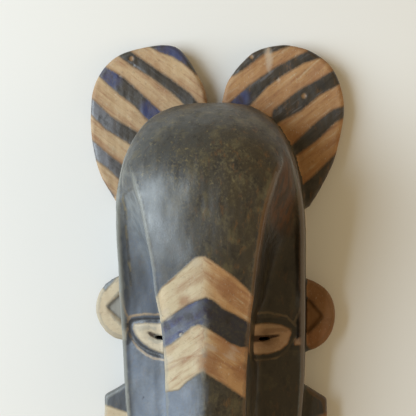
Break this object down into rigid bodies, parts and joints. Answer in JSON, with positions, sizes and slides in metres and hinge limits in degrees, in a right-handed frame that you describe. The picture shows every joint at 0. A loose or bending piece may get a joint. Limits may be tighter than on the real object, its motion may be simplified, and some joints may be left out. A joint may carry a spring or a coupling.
{
  "type": "kifwebe mask",
  "caption": "Long hollow wooden face mask with a broad nose ridge, slit eyes, box mouth, side ears, lugs and two striped leaf-shaped ears",
  "frame": {"origin": "middle of the mask's length and width, on the plane of its flat back rim", "axes": "+Z out of the face, +Y towards the top of the head, +X to the right of someone who looks at the face"},
  "size_m": [0.2796, 0.536, 0.1569],
  "materials": {
    "painted_wood": "worn dark blue-black paint with tan ochre bands, satin"
  },
  "bodies": {
    "root": {"carved_mask": "painted_wood"}
  },
  "joints": []
}
